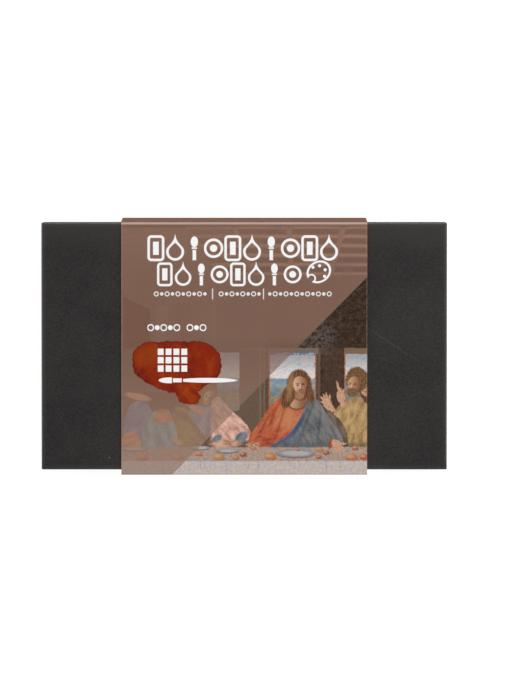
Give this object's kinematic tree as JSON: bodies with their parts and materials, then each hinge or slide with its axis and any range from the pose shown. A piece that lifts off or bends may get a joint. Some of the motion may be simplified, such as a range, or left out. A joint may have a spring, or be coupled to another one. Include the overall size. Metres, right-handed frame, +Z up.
{
  "type": "watercolor pan set",
  "caption": "Flat black paintbox: a board sleeve with a slide-out tray of half pans, brush and mixing palette, held shut by a loose printed card band.",
  "frame": {"origin": "bottom centre of the whole set's box, on the band's underside", "axes": "set lying flat: +X along the sleeve, to the right as the picture is read, +Y towards the picture's top edge, +Z up out of the picture"},
  "size_m": [0.16, 0.1012, 0.0236],
  "materials": {
    "greyboard": "plain greyboard",
    "black_paper": "matt black covering paper",
    "lining_paper": "matt black lining paper",
    "printed_card": "satin printed card, brown",
    "tray_paper": "matt black covering paper",
    "rack_plastic": "matt black moulding",
    "palette_plastic": "glossy white moulding",
    "pan_plastic": "glossy white moulding",
    "lacquered_wood": "black lacquer",
    "ferrule_metal": "polished, crimped twice",
    "brush_hair": "brown synthetic hair",
    "clear_plastic": "clear tube",
    "paint_lemon_yellow": "lemon yellow pressed paint, satin",
    "paint_golden_yellow": "golden yellow pressed paint, satin",
    "paint_orange": "orange pressed paint, satin",
    "paint_scarlet": "scarlet pressed paint, satin",
    "paint_crimson": "crimson pressed paint, satin",
    "paint_violet": "violet pressed paint, satin",
    "paint_ultramarine": "ultramarine pressed paint, satin",
    "paint_sky_blue": "sky blue pressed paint, satin",
    "paint_emerald": "emerald pressed paint, satin",
    "paint_sap_green": "sap green pressed paint, satin",
    "paint_ochre": "ochre pressed paint, satin",
    "paint_umber": "umber pressed paint, satin"
  },
  "bodies": {
    "sleeve": {"sleeve_top_board": "greyboard", "sleeve_bottom_board": "greyboard", "sleeve_rear_board": "greyboard", "sleeve_front_board": "greyboard", "sleeve_wrap": "black_paper", "sleeve_lining": "lining_paper"},
    "band": {"belly_band": "printed_card"},
    "tray": {"tray_floor_board": "greyboard", "tray_rear_board": "greyboard", "tray_front_board": "greyboard", "tray_left_board": "greyboard", "tray_right_board": "greyboard", "tray_wrap": "tray_paper", "pan_rack": "rack_plastic", "mixing_palette": "palette_plastic", "brush_handle": "lacquered_wood", "brush_ferrule": "ferrule_metal", "brush_hair": "brush_hair", "pan_01": "pan_plastic", "pan_02": "pan_plastic", "pan_03": "pan_plastic", "pan_04": "pan_plastic", "pan_05": "pan_plastic", "pan_06": "pan_plastic", "pan_07": "pan_plastic", "pan_08": "pan_plastic", "pan_09": "pan_plastic", "pan_10": "pan_plastic", "pan_11": "pan_plastic", "pan_12": "pan_plastic", "paint_lemon_yellow": "paint_lemon_yellow", "paint_golden_yellow": "paint_golden_yellow", "paint_orange": "paint_orange", "paint_scarlet": "paint_scarlet", "paint_crimson": "paint_crimson", "paint_violet": "paint_violet", "paint_ultramarine": "paint_ultramarine", "paint_sky_blue": "paint_sky_blue", "paint_emerald": "paint_emerald", "paint_sap_green": "paint_sap_green", "paint_ochre": "paint_ochre", "paint_umber": "paint_umber"},
    "guard": {"brush_guard": "clear_plastic"}
  },
  "joints": [
    {"name": "band_slide", "type": "slide", "parent": "sleeve", "child": "band", "axis": [-1, 0, 0], "range_m": [-0.13, 0.13]},
    {"name": "tray_slide", "type": "slide", "parent": "sleeve", "child": "tray", "axis": [1, 0, 0], "range_m": [-0.125, 0.125]},
    {"name": "guard_slide", "type": "slide", "parent": "tray", "child": "guard", "axis": [-1, 0, 0], "range_m": [0, 0.024]}
  ]
}
